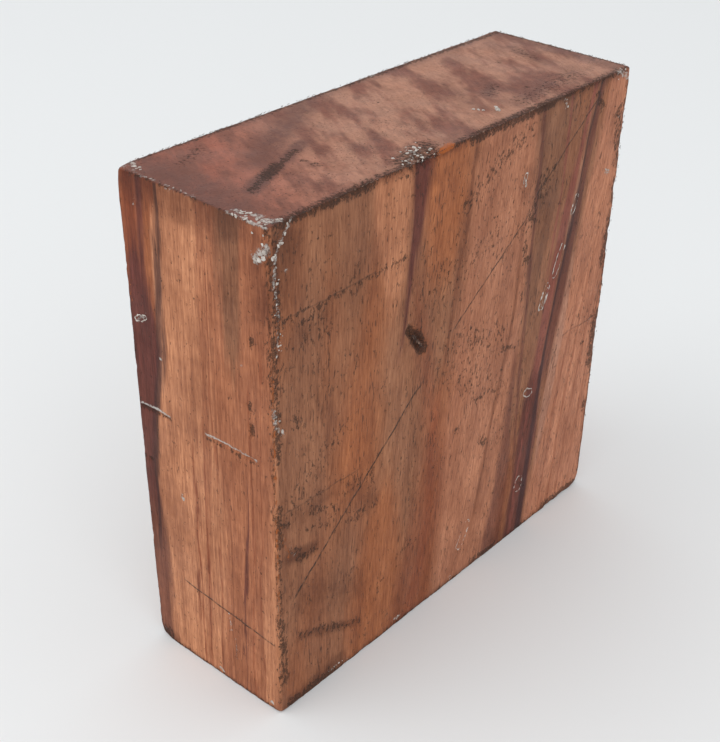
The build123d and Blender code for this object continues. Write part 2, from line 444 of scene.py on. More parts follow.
# Dark marks: dirt, and two strokes of painted shadow under the wax lips of the nicks in the left face.
DIRT_AND_SHADE = [
    # The top arris of the front face.
    *front_strokes([
        (4, TOP, 36, TOP - 0.5, 3, 0.95), (36, TOP, 76, TOP, 2, 0.75),
        (76, TOP - 0.6, 112, TOP - 0.6, 3.4, 0.95), (112, TOP, 150, TOP, 2.4, 0.8),
    ]),
    # The left arris of the front face.
    *front_strokes([
        (1, 150, 3, 124, 3.2, 0.6), (1, 124, 1.5, 88, 2.6, 0.75), (1, 72, 2, 61, 2.8, 0.8),
        (1, 60, 1, 36, 1.6, 0.6), (1, 34, 2.5, 11, 2.6, 0.75),
    ]),
    # The right arris of the front face.
    *front_strokes([
        (149, 140, 152, 124, 4.8, 0.62), (152, 117, 152, 110, 2.6, 0.85), (152, 103, 151, 89, 4.2, 0.8),
        (151, 69, 151, 52, 4.8, 0.85), (150, 35, 152, 30, 2.6, 0.7), (152, 150, 152, 5, 1.4, 0.65),
    ]),
    # Along the foot.
    *front_strokes([
        (4, 1, 22, 1, 3.6, 0.85), (22, 0, 90, 0, 1.8, 0.7), (90, 1, 101, 1, 3.4, 0.75),
        (101, 0, 131, 0, 2, 0.7), (131, 1, 151, 1, 3.4, 0.9),
    ]),
    # The knot.
    ((52, 0, 104.6), (55.5, 0, 100), 2.5, 1.5),
    ((55, 0, 101), (58.2, 0, 96.4), 3.5, 1.7),
    # Rows of spots from damp stickers.
    *front_strokes([
        (4, 126.6, 50, 127, 2, 0.5), (10, 124.5, 12, 118, 2.4, 0.45), (14, 125, 19, 117, 6, 0.38),
        (0, 70, 18, 69.2, 1.8, 0.5), (0, 68, 5, 66, 2.4, 0.6),
    ]),
    # Bruises and smudges, from the foot up.
    *front_strokes([
        (8, 24.5, 17, 21.5, 2, 0.55), (17, 21.5, 25, 16.5, 2.6, 0.7), (25, 16.5, 33, 13.5, 1.9, 0.6),
        (50, 27.2, 60, 29, 1.9, 0.42), (5, 57, 9, 54, 2.4, 0.6), (8, 52, 15, 51.4, 2.2, 0.75),
        (12, 60, 23, 57.5, 2.6, 0.4), (14, 66, 23, 61, 3.4, 0.36), (29, 54, 39, 52.5, 4, 0.4),
        (30, 67, 38, 62, 6, 0.36), (90, 49.5, 92, 47, 2.6, 0.7), (76, 60, 77.5, 59.5, 2, 0.65),
        (85, 67, 88, 66, 2, 0.5), (143.6, 61.6, 144.2, 61.2, 1.6, 0.7), (60, 112, 104, 122, 16, 0.20),
        (96, 40, 104, 60, 12, 0.18), (97, 79, 105, 77.5, 2.6, 0.55), (74, 92, 96, 84, 10, 0.30),
        (74, 80, 94, 66, 11, 0.27), (7.5, 99, 9.5, 95, 1.9, 0.6), (8, 74, 26, 86, 6, 0.32),
        (104.5, 110, 106, 105, 2.6, 0.7), (105.5, 120.5, 107.5, 118, 2.6, 0.7),
        (104.5, 97, 105.5, 92, 2, 0.5), (106, 118, 113, 130, 8, 0.45), (76, 134, 88, 141, 7, 0.36),
        (88, 141, 101, 146.5, 6, 0.40), (136, 148, 139, 143.5, 2.6, 0.7),
        (114, 21.5, 116.5, 17.5, 2.2, 0.6),
    ]),
    # The left face.
    *left_strokes([
        (49.8, 0.5, 47.5, 2.5, 3.4, 0.9), (50, 0, 1, 0, 1.8, 0.7), (6.4, 121.8, 6.2, 120.4, 1.5, 1),
        (7.9, 102.5, 7.7, 100, 1.3, 0.85), (7.4, 96.2, 7.4, 93, 1.5, 1.05),
        # Painted shadow: dark lines under the wax lips of the two nicks.
        (50, 83.4, 39, 83.8, 1, 0.75), (25, 84.4, 6, 84.6, 0.9, 0.62),
        (50.5, 66.6, 47.5, 66.6, 1.3, 0.7), (0, 152, 0, 4, 1.2, 0.5),
    ]),
    # The top.
    *top_strokes([
        (12, 17, 20, 20.3, 2, 0.85), (20, 20.3, 27, 23, 3.2, 1.2), (27, 23, 37, 26.6, 2, 0.85),
        (12, 40.6, 21, 44.6, 3, 0.45), (138.5, 26, 141.5, 34, 3.6, 0.4), (104, 16, 111, 20, 4, 0.45),
        (106, 6, 134, 9, 6, 0.4), (50, 2, 62, 4.5, 6.5, 0.75), (33.6, 20.9, 34.2, 20.7, 1.3, 0.9),
        (33.8, 17.4, 34.2, 16.2, 1.4, 0.8), (76.6, 34.8, 77.2, 34.6, 1.2, 0.8),
        (115.6, 12, 116.4, 12, 1.2, 0.9), (127.8, 31, 128.2, 31, 1.2, 0.9),
        (0, 1, WIDE, 1, 2.2, 0.55), (0, THICK, WIDE, THICK - 1.5, 1.8, 0.8),
        (WIDE, 0, WIDE, THICK, 2.2, 0.8), (0, 48, 0, 2, 1.3, 0.5),
    ]),
    # The faces that are seldom looked at.
    ((30, THICK, 118), (44, THICK, 104), 6, 0.5),
    ((96, THICK, 34), (112, THICK, 30), 3, 0.7),
    ((120, THICK, 90), (128, THICK, 96), 4, 0.5),
    ((60, THICK, 2), (86, THICK, 1), 3.4, 0.8),
    ((20, THICK, TOP), (52, THICK, TOP), 3, 0.8),
    ((WIDE, THICK, 60), (WIDE, THICK - 1, 84), 3, 0.8),
    ((WIDE, 30, 40), (WIDE, 34, 52), 2.6, 0.5),
    ((WIDE, 14, 118), (WIDE, 20, 122), 3.4, 0.5),
    ((WIDE, 2, 0), (WIDE, THICK, 0), 2.4, 0.8),
    ((0, THICK, 0), (WIDE, THICK, 0), 2, 0.8),
    ((0, THICK, 4), (0, THICK, TALL), 1.2, 0.45),
]
WAX = [
    # Runs down the left arris of the front face.
    *front_strokes([
        (8.5, TOP, 5, 149, 1.1, 0.7), (5, 149, 2.5, 145, 1.2, 0.75), (2.5, 145, 1.8, 137, 1.3, 0.7),
        (1.8, 137, 3.2, 129, 1.2, 0.65), (3, 129, 2, 118, 1.3, 0.5), (0.6, 103, 1.4, 98, 1.8, 0.65),
        (1.4, 98, 4, 94.5, 1.5, 0.6), (5.6, 140, 6.4, 140.4, 1, 0.8),
        (5, 57.5, 7, 54.5, 1.3, 0.5),
    ]),
    # Flecks elsewhere on the front face.
    *front_strokes([
        (101, 133.5, 102.5, 130.5, 1.3, 0.7), (149, 138, 152, 139, 0.9, 0.7),
        (145.8, 121.5, 147, 120.5, 2.2, 0.7), (150.5, 123.5, 151.5, 122, 1.2, 0.5),
        (144.5, 68.3, 147.5, 68.6, 1.1, 0.65), (118.5, 151.5, 119.5, 149, 1.2, 0.7),
        (146, TOP, 152, 149.5, 2.4, 0.7), (20, 2, 23, 2.2, 1.1, 0.55), (49.5, 2.6, 53, 2.6, 1.5, 0.6),
        (77.5, 2, 79, 1.5, 1.2, 0.5), (49, TOP, 62, TOP, 2, 0.5),
    ]),
    # The left face.
    *left_strokes([
        (48.4, 110.8, 45.2, 112.9, 1.3, 0.75), (49.8, 84.2, 44, 84.9, 1, 1.05),
        (44, 84.9, 38.8, 84.4, 1, 1.05), (24.2, 85.6, 15, 86, 0.95, 1.05),
        (15, 86, 6.2, 85.8, 0.85, 0.95), (40.4, 102, 40, 102, 0.9, 1),
        (36.2, 59.6, 35.8, 59.2, 1.2, 0.85), (45.9, 145.2, 45.5, 144.6, 0.9, 0.8),
        (10.4, 112.6, 10.2, 112.2, 0.9, 0.8), (19.6, 32, 17.8, 29, 0.9, 0.65),
        (19.6, 26, 19, 21, 0.9, 0.65), (17.4, 18, 17.2, 10, 0.9, 0.5),
        (18.4, 40.2, 18.2, 39.8, 0.9, 0.7), (3.8, 144, 0.5, 147.5, 2.8, 0.85),
        (13, TOP, 0, TOP, 1.5, 0.8), (36, TOP - 0.5, 30, TOP - 1, 1.2, 0.4),
        (24.4, 2.2, 23.4, 1.8, 1.3, 0.8), (4, 2.4, 3.4, 2.2, 1.3, 0.7),
        (48.8, 3.6, 48.2, 3.2, 1.1, 0.5),
    ]),
    # The top.
    *top_strokes([
        (2, 12, 1.8, 10, 1.9, 0.8), (3, 6.5, 3.5, 4, 2.4, 0.8), (1.2, 3, 5, 1, 2.2, 0.75),
        (0.6, 46, 0.6, 24, 1.2, 0.6), (2, 49.5, 5, 50.5, 3, 0.62), (1, 46, 3, 48, 2.4, 0.6),
        (51, 2, 57, 4.5, 3.4, 0.5), (57, 7, 61, 8, 2.4, 0.42), (90, 50, 94, 50, 1.2, 0.5),
        (122, 50, 125, 50, 1.2, 0.5),
    ]),
    # The faces that are seldom looked at.
    ((40, THICK, 150), (52, THICK, 147), 2.6, 0.7),
    ((52, THICK, 147), (54, THICK, 132), 1.4, 0.6),
    ((10, THICK, 60), (12, THICK, 52), 1.8, 0.6),
    ((WIDE, THICK, 140), (WIDE, 44, 136), 2.2, 0.7),
    ((WIDE, 8, 64), (WIDE, 10, 60), 1.6, 0.6),
    ((70, THICK, 70), (78, THICK, 72), 1.2, 0.6),
]
BARE = [
    ((62.5, 0, TOP), (67.5, 1, TOP), 2.4, 1),
    ((2, 0, 66), (5, 0, 55), 2.4, 0.5),
    ((151, 0, 45), (152, 0, 12), 2, 0.45),
    ((151, 0, 150), (152, 0, 142), 2.2, 0.4),
    ((0.5, 0, 118), (0.5, 0, 36), 1.3, 0.55),
    ((4, 0, 12), (2, 0, 3), 3, 0.4),
    ((0, 51, 150), (0, 50, 116), 2.4, 0.4),
    ((18, THICK, 20), (24, THICK, 16), 2.4, 0.7),
]


def marked(rows):
    """The strongest of the strokes at each point of the block, measured before its faces lean."""
    value = np.zeros(len(flat))
    for start, end, reach, strength in rows:
        value = np.maximum(value, strength * stroke(flat, start, end, reach))
    return value


in_hollow = ramp(sink + ragged, 0.25, 1.0)
store(wood_block, "stain", marked(STAINS))
# Dirt and painted shade: the dark strokes, among them the painted shadow under the nick lips, and the darker
# dents.
store(wood_block, "dirt_and_shade", np.maximum(marked(DIRT_AND_SHADE), 0.6 * in_hollow))
store(wood_block, "wax", marked(WAX))
store(wood_block, "bare", marked(BARE))
store(wood_block, "end_grain", ramp(np.abs(outward[:, 2]), 0.55, 0.85))
store(wood_block, "side_grain", ramp(np.abs(outward[:, 0]), 0.55, 0.85))
print(len(STAINS), "stains and", len(DIRT_AND_SHADE), "strokes of dirt")
print(len(WAX), "strokes of wax and", len(BARE), "of bare wood")

# %% [markdown]
# ## The hardwood
# The colour of wood lies in growth layers that run right through the block, so one solid pattern serves all
# six faces: a dark streak on the broad face carries on over the top and comes out on the back. Here the
# layers stand upright and slant back to the right, so a layer's number is x less a share of y. Along the
# grain the layers drift, and their edges are frayed by fibres.

# %% A helper for finishes


class Finish:
    """A finish laid out node by node: each call adds one node and returns what it gives."""

    def __init__(self, name):
        self.material = bpy.data.materials.new(name)
        self.material.use_nodes = True
        self.nodes = self.material.node_tree.nodes
        self.links = self.material.node_tree.links
        self.shader = self.nodes["Principled BSDF"]

    def put(self, socket, value):
        """Link a result to a socket, or set the socket to a plain value."""
        if isinstance(value, bpy.types.NodeSocket):
            self.links.new(value, socket)
        elif value is not None:
            socket.default_value = value

    def add(self, kind, *values, result=0, **settings):
        """Any node: its settings first, then its inputs in order."""
        made = self.nodes.new("ShaderNode" + kind)
        for setting, choice in settings.items():
            setattr(made, setting, choice)
        for socket, value in zip(made.inputs, values):
            self.put(socket, value)
        return made.outputs[result]

    def sum(self, operation, *values):
        """Arithmetic on numbers."""
        return self.add("Math", *values, operation=operation)

    def sway(self, value, width, base):
        """The base, pushed up or down by width times how far a value lies from a half."""
        return self.sum("MULTIPLY_ADD", self.sum("SUBTRACT", value, 0.5), width, base)

    def smooth(self, value, start, end, low=0.0, high=1.0):
        """low before start, high after end, and a smooth step between them."""
        return self.add("MapRange", value, start, end, low, high, interpolation_type="SMOOTHSTEP")

    def linear(self, value, start, end, low=0.0, high=1.0):
        """The same with a straight slope, held at its ends."""
        return self.add("MapRange", value, start, end, low, high)

    def blend(self, amount, below, above, how="MIX"):
        """One colour over another."""
        made = self.nodes.new("ShaderNodeMix")
        made.data_type = "RGBA"
        made.blend_type = how
        self.put(made.inputs[0], amount)
        for socket, colour in zip(made.inputs[6:8], (below, above)):
            self.put(socket, (*colour, 1) if isinstance(colour, tuple) else colour)
        return made.outputs[2]

    def noise(self, place, size, detail=2.0, rough=0.5):
        """A random pattern, where size is how many millimetres one blotch takes."""
        return self.add("TexNoise", place, None, 1 / size, detail, rough, noise_dimensions="3D")

    def curve(self, value, points):
        """A smooth curve through points of (value, result), both from 0 to 1."""
        made = self.nodes.new("ShaderNodeFloatCurve")
        line = made.mapping.curves[0]
        for _ in points[2:]:
            line.points.new(0.5, 0.5)
        for point, place in zip(line.points, sorted(points)):
            point.location = place
        made.mapping.update()
        self.put(made.inputs[1], value)
        return made.outputs[0]

    def attribute(self, name):
        """A number kept at the piece's points."""
        return self.add("Attribute", attribute_name=name, attribute_type="GEOMETRY", result=2)


wood = Finish("waxed_hardwood")

# %% Places in the wood
LAYER_SLANT = 0.58
SPAN = 240.0
START = -50.0
RULE_HEIGHT = 160.0
NEAR_TOP = 150.0
object_place = wood.add("TexCoord", result=3)
place = wood.add(
    "Mapping", object_place, tuple(-CORNER), None, (1 / MM,) * 3, vector_type="POINT"
)
parts_of_place = wood.add("SeparateXYZ", place)
along, back, rise_up = parts_of_place.node.outputs
layer_number = wood.sum("MULTIPLY_ADD", back, -LAYER_SLANT, along)
lean = wood.smooth(layer_number, 15, 90, 0.03, 0.145)
drift = wood.sum("MULTIPLY", wood.sum("SUBTRACT", rise_up, TALL / 2), lean)
straight_layer = wood.sum("SUBTRACT", layer_number, drift)
across_layer = wood.sum("MULTIPLY_ADD", along, LAYER_SLANT, back)


def grain_place(up_share):
    """Coordinates of a pattern drawn out along the grain: layer, place across it, share of the height."""
    return wood.add("CombineXYZ", straight_layer, across_layer, wood.sum("MULTIPLY", rise_up, up_share))


long_grain = grain_place(0.075)
fibre = wood.noise(long_grain, 1.1, 3.0, 0.6)
fray = wood.noise(long_grain, 3.2, 2.0)
wander = wood.noise(grain_place(0.3), 26.0, 1.0)
frayed = wood.sway(fray, 3.4, layer_number)
frayed = wood.sway(fibre, 1.6, frayed)
layer_share = wood.linear(frayed, START, START + SPAN)
height_share = wood.linear(rise_up, 0, RULE_HEIGHT)

# %% [markdown]
# Each streak is a band between two edges that wander as it rises. Its rows give a height, then its left and
# right edge as layer numbers. On the left face, layer numbers are negative.

# %% Colours and streaks
TAN = (0.42, 0.165, 0.080)
LIGHT_TAN = (0.47, 0.190, 0.092)
ORANGE_BROWN = (0.335, 0.105, 0.037)
OLIVE = (0.205, 0.082, 0.040)
OLIVE_TAN = (0.270, 0.108, 0.053)
SALMON = (0.43, 0.168, 0.090)
PALE = (0.36, 0.165, 0.105)
RED_BROWN = (0.215, 0.050, 0.018)
BROWN = (0.185, 0.056, 0.023)
WINE = (0.235, 0.062, 0.042)
PURPLE_BROWN = (0.108, 0.025, 0.018)
PURPLE_BLACK = (0.053, 0.016, 0.015)


def side(rows):
    """Rows measured on the left face, as (height, nearer, further) back from the front face, as layers."""
    return [(height, -LAYER_SLANT * further, -LAYER_SLANT * nearer) for height, nearer, further in rows]


# Each row is the colour, its strength, the softness of its edges and the band.
STREAKS = [
    (SALMON, 0.75, 9.0, [(0, 70, 100), (50, 70, 104), (100, 74, 108), (152, 80, 106)]),
    (ORANGE_BROWN, 0.75, 8.0, [(0, 28, 52), (25, 30, 52), (45, 36, 50), (60, 42, 46)]),
    (TAN, 0.95, 4.0, [(152, 36, 51.5), (140, 37, 51), (127, 40, 50), (113, 43, 47)]),
    (ORANGE_BROWN, 0.8, 7.0, [(152, 58, 76), (130, 58, 74), (112, 60, 70)]),
    (SALMON, 1.0, 4.0, [(0, 118, 160), (50, 126, 160), (100, 134, 162), (152, 142, 162)]),
    (OLIVE, 0.75, 3.0, [(152, 105.5, 124), (130, 107, 122), (112, 107, 117), (92, 107, 113), (76, 107, 110)]),
    (PURPLE_BROWN, 0.6, 1.6, [
        (152, 107.2, 109.0), (112, 107.2, 109.2), (60, 107.4, 109.0), (25, 108.4, 109.6),
    ]),
    (RED_BROWN, 0.55, 8.0, [
        (0, 48, 68), (22, 52, 70), (40, 57, 71), (60, 60, 70), (86, 58, 64), (118, 52, 56),
    ]),
    (RED_BROWN, 0.5, 2.5, [(0, 54, 60), (20, 60, 64), (40, 63, 67), (62, 63, 66), (80, 66.5, 69)]),
    (BROWN, 0.75, 1.8, [(152, 77.3, 79.2), (125, 73.4, 75.6), (100, 70, 72.2), (84, 67, 68.6)]),
    (PURPLE_BROWN, 0.9, 1.8, [
        (152, 51.5, 57.5), (140, 51.8, 56.5), (128, 51.2, 54.2), (112, 49.6, 51.4), (98, 48, 48.6),
    ]),
    (PURPLE_BROWN, 0.55, 3.6, [(152, 56, 60), (138, 55, 57.5), (124, 53, 54.5)]),
    (PURPLE_BROWN, 0.6, 3.0, [
        (0, 94, 104), (20, 98, 107), (40, 101, 106.5), (62, 103, 105), (80, 104, 104.5),
    ]),
    (BROWN, 0.7, 1.6, [(18, 87, 88.6), (40, 91, 92.8), (60, 95, 96.8), (78, 99, 101), (110, 102, 103.2)]),
    (PURPLE_BROWN, 0.9, 2.6, [
        (0, 107, 117), (20, 109, 119), (40, 110.5, 121), (55, 113, 120.5), (66, 115, 119),
    ]),
    (WINE, 0.85, 2.0, [
        (58, 115.5, 119), (86, 118.5, 123), (110, 122.5, 127), (130, 127.5, 130.4), (152, 133.5, 135.6),
    ]),
    (WINE, 0.7, 1.2, [(96, 117.5, 118.8), (125, 120.5, 121.8), (152, 121.5, 122.8)]),
    (PALE, 0.85, 2.2, [
        (25, 122, 124.5), (45, 123, 127.5), (65, 126, 130.5), (85, 129.0, 132.4), (98, 132, 133),
    ]),
    (PALE, 0.6, 1.2, [(96, 125.6, 126.8), (112, 127.6, 129.0), (130, 130.8, 132.0)]),
    (PURPLE_BROWN, 0.75, 1.8, [
        (56, 119, 124.2), (85, 123.6, 129.2), (105, 127.8, 132.2), (120, 131, 134), (152, 137, 139.6),
    ]),
    (WINE, 0.65, 0.8, [(0, 109.6, 110.8), (20, 111.4, 112.4), (40, 113.6, 114.6), (58, 116, 117)]),
    (PURPLE_BLACK, 0.95, 1.6, [
        (0, 113.2, 116.4), (20, 114.6, 118.2), (40, 117.0, 119.8), (55, 118.8, 121.0), (70, 120.8, 122.8),
        (90, 124.4, 126.0), (110, 128.2, 129.6), (130, 131.8, 133.0), (152, 136.6, 137.8),
    ]),
    (RED_BROWN, 0.45, 1.0, [(0, 126, 127.2), (40, 130, 131.2), (80, 137, 138)]),
    (RED_BROWN, 0.45, 1.0, [(0, 131.5, 132.6), (40, 135.5, 136.6), (90, 143, 144)]),
    (RED_BROWN, 0.4, 1.0, [(0, 136.5, 137.4), (50, 142.5, 143.4), (100, 149, 150)]),
    (RED_BROWN, 0.4, 1.0, [(0, 142.0, 143.0), (50, 147.5, 148.5), (100, 152, 153)]),
    # The left face.
    (LIGHT_TAN, 0.95, 1.5, side([(152, -2, 60), (0, -2, 60)])),
    (RED_BROWN, 0.5, 2.2, side([(152, 0, 22), (90, 0, 21), (60, 2, 19), (0, 6, 22)])),
    (RED_BROWN, 0.45, 1.0, side([(152, 22, 25.5), (110, 22.5, 25), (60, 24, 26.5), (0, 26, 28.6)])),
    (OLIVE, 0.85, 1.6, side([(152, 10, 18), (125, 11, 17), (106, 12.5, 15)])),
    (RED_BROWN, 0.85, 1.2, side([(152, 40, 51), (132, 42, 51), (112, 41, 52), (90, 44, 52)])),
    (RED_BROWN, 0.85, 1.0, side([(152, 47.8, 53), (130, 48.2, 53), (116, 50, 53)])),
    (ORANGE_BROWN, 0.75, 0.8, side([(146, 41.4, 43.8), (130, 41.6, 44.0), (116, 42, 43)])),
    (PURPLE_BROWN, 0.95, 1.6, side([
        (136, 48.6, 49), (122, 45.5, 52), (108, 41.5, 56), (90, 43.5, 56), (70, 45.5, 56), (50, 46.5, 56),
    ])),
    (PURPLE_BROWN, 0.75, 1.8, side([(60, 45, 56), (30, 44, 56), (0, 43.0, 56)])),
    (PURPLE_BLACK, 0.8, 0.9, side([
        (152, 38.0, 40.4), (120, 38.8, 40.8), (98, 40.2, 43.5), (82, 43, 46),
        (58, 44.8, 47.2), (36, 46.6, 49),
    ])),
    (PURPLE_BROWN, 0.8, 1.2, side([(152, 43.6, 47.2), (130, 44.2, 46.8), (112, 43, 48)])),
    (PURPLE_BROWN, 0.85, 0.4, side([(78, 10.8, 11.3), (50, 10.4, 11.3), (30, 11.2, 12.0), (0, 12.0, 12.8)])),
    (RED_BROWN, 0.85, 0.4, side([(90, 25.6, 26.3), (60, 26.0, 26.8), (0, 25.6, 26.4)])),
    (RED_BROWN, 0.85, 0.4, side([(90, 29.0, 29.6), (60, 29.6, 30.3), (0, 29.8, 30.6)])),
    (BROWN, 0.7, 0.4, side([(60, 16.6, 17.2), (30, 16.8, 17.4), (8, 16.2, 17.4)])),
    (RED_BROWN, 0.7, 0.4, side([(140, 22.6, 23.2), (90, 21.4, 22), (0, 21.4, 22.2)])),
    (RED_BROWN, 0.6, 0.4, side([(110, 7.4, 8.0), (60, 7.8, 8.4), (0, 8.2, 9.0)])),
    (RED_BROWN, 0.6, 0.4, side([(120, 4.0, 4.6), (60, 4.4, 5.0), (0, 4.8, 5.4)])),
]


def streak_amount(strength, soft, rows):
    """How much of a streak's colour lies at a place: the smaller of its distances inside the two edges,
    spread over the softness."""
    edges = [
        wood.curve(height_share, [(height / RULE_HEIGHT, (layer - START) / SPAN) for height, layer in edge])
        for edge in ([(row[0], row[1]) for row in rows], [(row[0], row[2]) for row in rows])
    ]
    inside = wood.sum(
        "MINIMUM", wood.sum("SUBTRACT", layer_share, edges[0]), wood.sum("SUBTRACT", edges[1], layer_share)
    )
    return wood.smooth(inside, -soft / 2 / SPAN, soft / 2 / SPAN, 0, strength)


def streak_reach(rows, fade=18.0):
    """A streak fades out past its lowest and highest row, unless it runs on to the end of the block."""
    lowest, highest = min(row[0] for row in rows), max(row[0] for row in rows)
    shown = None
    if lowest > 0:
        shown = wood.smooth(rise_up, lowest - fade / 2, lowest + fade / 2)
    if highest < NEAR_TOP:
        upper = wood.smooth(rise_up, highest - fade / 2, highest + fade / 2, 1, 0)
        shown = upper if shown is None else wood.sum("MULTIPLY", shown, upper)
    return shown


body_colour = wood.blend(wood.smooth(wander, 0.20, 0.48), ORANGE_BROWN, OLIVE_TAN)
colour = body_colour
for streak_colour, strength, soft, rows_of_streak in STREAKS:
    amount = streak_amount(strength, soft, rows_of_streak)
    reach = streak_reach(rows_of_streak)
    if reach is not None:
        amount = wood.sum("MULTIPLY", amount, reach)
    colour = wood.blend(amount, colour, streak_colour)
print(len(STREAKS), "streaks laid in", len(wood.nodes), "nodes")

# %% [markdown]
# ## Fibres and pores
# Close up, the wood is fine lines that run up the block, and pores: cut lengthwise they are short dark
# dashes on the side faces, and cut across they are dots on the ends. A noise drawn out along z gives both
# at once. The narrow faces cut the layers squarely, so their growth lines are finer and stronger. They also
# carry painted sheen: faint light and dark bands across the grain, the shimmer of figured wood, put into
# the colour.

# %% Fibres and pores
side_grain = wood.attribute("side_grain")
fine_lines = wood.noise(grain_place(0.1), 0.6, 3.0, 0.7)
growth_lines = wood.noise(grain_place(0.05), 3.4, 2.0, 0.55)
ring_lines = wood.noise(grain_place(0.012), 1.5, 2.0, 0.6)
clouds = wood.noise(grain_place(0.45), 13.0, 3.0, 0.6)
# Painted sheen: faint light and dark bands across the grain on the narrow faces.
sheen_ripple = wood.noise(wood.add("CombineXYZ", along, wood.sum("MULTIPLY", back, 0.15), rise_up), 3.2, 1.0)
line_shade = wood.linear(fine_lines, 0.3, 0.7, 0.70, 1.27)
growth_shade = wood.linear(growth_lines, 0.32, 0.68, 0.90, 1.09)
ring_shade = wood.linear(ring_lines, 0.36, 0.62, 0.84, 1.09)
rings_and_sheen = wood.sum("MULTIPLY", ring_shade, wood.linear(sheen_ripple, 0.35, 0.65, 0.95, 1.05))
cloud_shade = wood.linear(clouds, 0.3, 0.7, 0.80, 1.18)
shade = wood.sum("MULTIPLY", wood.sum("MULTIPLY", line_shade, growth_shade), cloud_shade)
shade = wood.sum("MULTIPLY", shade, wood.add("Mix", side_grain, None, 1.0, rings_and_sheen))
shade_colour = wood.add("CombineColor", shade, wood.sum("POWER", shade, 1.25), wood.sum("POWER", shade, 1.35))
colour = wood.blend(1.0, colour, shade_colour, how="MULTIPLY")
pore_noise = wood.noise(grain_place(0.14), 0.55, 1.0, 0.5)
pore_zone = wood.noise(grain_place(0.5), 17.0, 2.0)
pore_start = wood.linear(pore_zone, 0.35, 0.65, 0.71, 0.63)
fewer = wood.linear(side_grain, 0, 1, 0, 0.08)
pore = wood.smooth(wood.sum("SUBTRACT", wood.sum("SUBTRACT", pore_noise, pore_start), fewer), 0.0, 0.05)

# %% [markdown]
# ## End grain
# On the two ends the saw cuts the fibres across. End grain drinks more wax and dirt, so it is duller and
# more mauve, its layers show as slanting bands, and the rough saw leaves brushed lines.

# %% The ends
MAUVE = (0.13, 0.050, 0.036)
END_MID = (0.205, 0.074, 0.048)
END_SALMON = (0.40, 0.190, 0.122)
END_RED = (0.33, 0.105, 0.066)
end_grain = wood.attribute("end_grain")
stain = wood.attribute("stain")
band_place = wood.add("CombineXYZ", layer_number, wood.sum("MULTIPLY", across_layer, 0.3), 0.0)
bands = wood.noise(band_place, 10.0, 3.0, 0.62)
brush_place = wood.add("CombineXYZ", layer_number, wood.sum("MULTIPLY", across_layer, 0.12), 0.0)
brushed = wood.noise(brush_place, 1.0, 2.0, 0.6)
mottle = wood.noise(place, 3.2, 3.0, 0.7)
saw_place = wood.add("CombineXYZ", along, wood.sum("MULTIPLY", back, 0.06), 0.0)
saw_lines = wood.noise(saw_place, 0.8, 1.0)
to_right = wood.smooth(layer_number, -8, 40)
end_light = wood.blend(to_right, END_RED, END_SALMON)
end_colour = wood.blend(wood.smooth(bands, 0.37, 0.59), END_MID, end_light)
brush_shade = wood.linear(brushed, 0.3, 0.7, 0.90, 1.09)
end_shade = wood.sum("MULTIPLY", brush_shade, wood.linear(mottle, 0.3, 0.7, 0.78, 1.18))
end_shade = wood.sum("MULTIPLY", end_shade, wood.linear(saw_lines, 0.35, 0.65, 0.94, 1.04))
end_shade_colour = wood.add("CombineColor", end_shade, end_shade, end_shade)
end_colour = wood.blend(1.0, end_colour, end_shade_colour, how="MULTIPLY")
uneven_stain = wood.sway(mottle, 1.8, wood.sum("SUBTRACT", bands, 0.5))
end_stain = wood.sum("MULTIPLY_ADD", uneven_stain, 0.9, stain)
end_colour = wood.blend(wood.smooth(end_stain, 0.1, 1.15, 0, 0.92), end_colour, MAUVE)

# %% [markdown]
# ## Stains
# A stain lets the grain show through, so it multiplies the colour beneath and is uneven like a cloud.

# %% Stains and pores
STAIN_TINT = (0.52, 0.45, 0.42)
PORE_DARK = (0.050, 0.018, 0.010)
cloudy_stain = wood.sway(mottle, 0.8, stain)
colour = wood.blend(wood.smooth(cloudy_stain, 0.05, 0.9), colour, STAIN_TINT, how="MULTIPLY")
colour = wood.blend(end_grain, colour, end_colour)
colour = wood.blend(wood.sum("MULTIPLY", pore, 0.7), colour, PORE_DARK)

# %% [markdown]
# ## Scratches
# The band saw and a nail left a few long scratches. Each is a thin box in the plane of its face: the
# Mapping node brings the scratch to a unit square, and it fades at the square's sides. A scratch wavers a
# little and skips, because the tool jumps over hard layers.

# %% Scratches
on_front = wood.smooth(back, 1.0, 2.0, 1, 0)
on_left = wood.smooth(along, 1.5, 3.0, 1, 0)
waver = wood.sum("MULTIPLY_ADD", wood.noise(place, 7.0, 3.0, 0.6), 2.4, -1.2)
front_place = wood.add("CombineXYZ", along, wood.sum("ADD", rise_up, waver), 0.0)
left_place = wood.add("CombineXYZ", back, wood.sum("MULTIPLY_ADD", waver, 0.4, rise_up), 0.0)


def scratch(face_place, on_face, start, end, width, strength):
    """How deep the dirt lies in a scratch from start to end on one face."""
    start, end = Vector(start), Vector(end)
    run = end - start
    middle = (start + end) / 2
    turn = float(np.arctan2(run.y, run.x))
    half_sizes = (run.length / 2, width / 2, 1)
    local = wood.add("Mapping", face_place, (*middle, 0), (0, 0, turn), half_sizes, vector_type="TEXTURE")
    size = wood.add("VectorMath", local, operation="ABSOLUTE")
    u, v, _ = wood.add("SeparateXYZ", size).node.outputs
    body = wood.sum("MULTIPLY", wood.smooth(u, 0.85, 1.0, 1, 0), wood.smooth(v, 0.2, 1.0, strength, 0))
    return wood.sum("MULTIPLY", body, on_face)


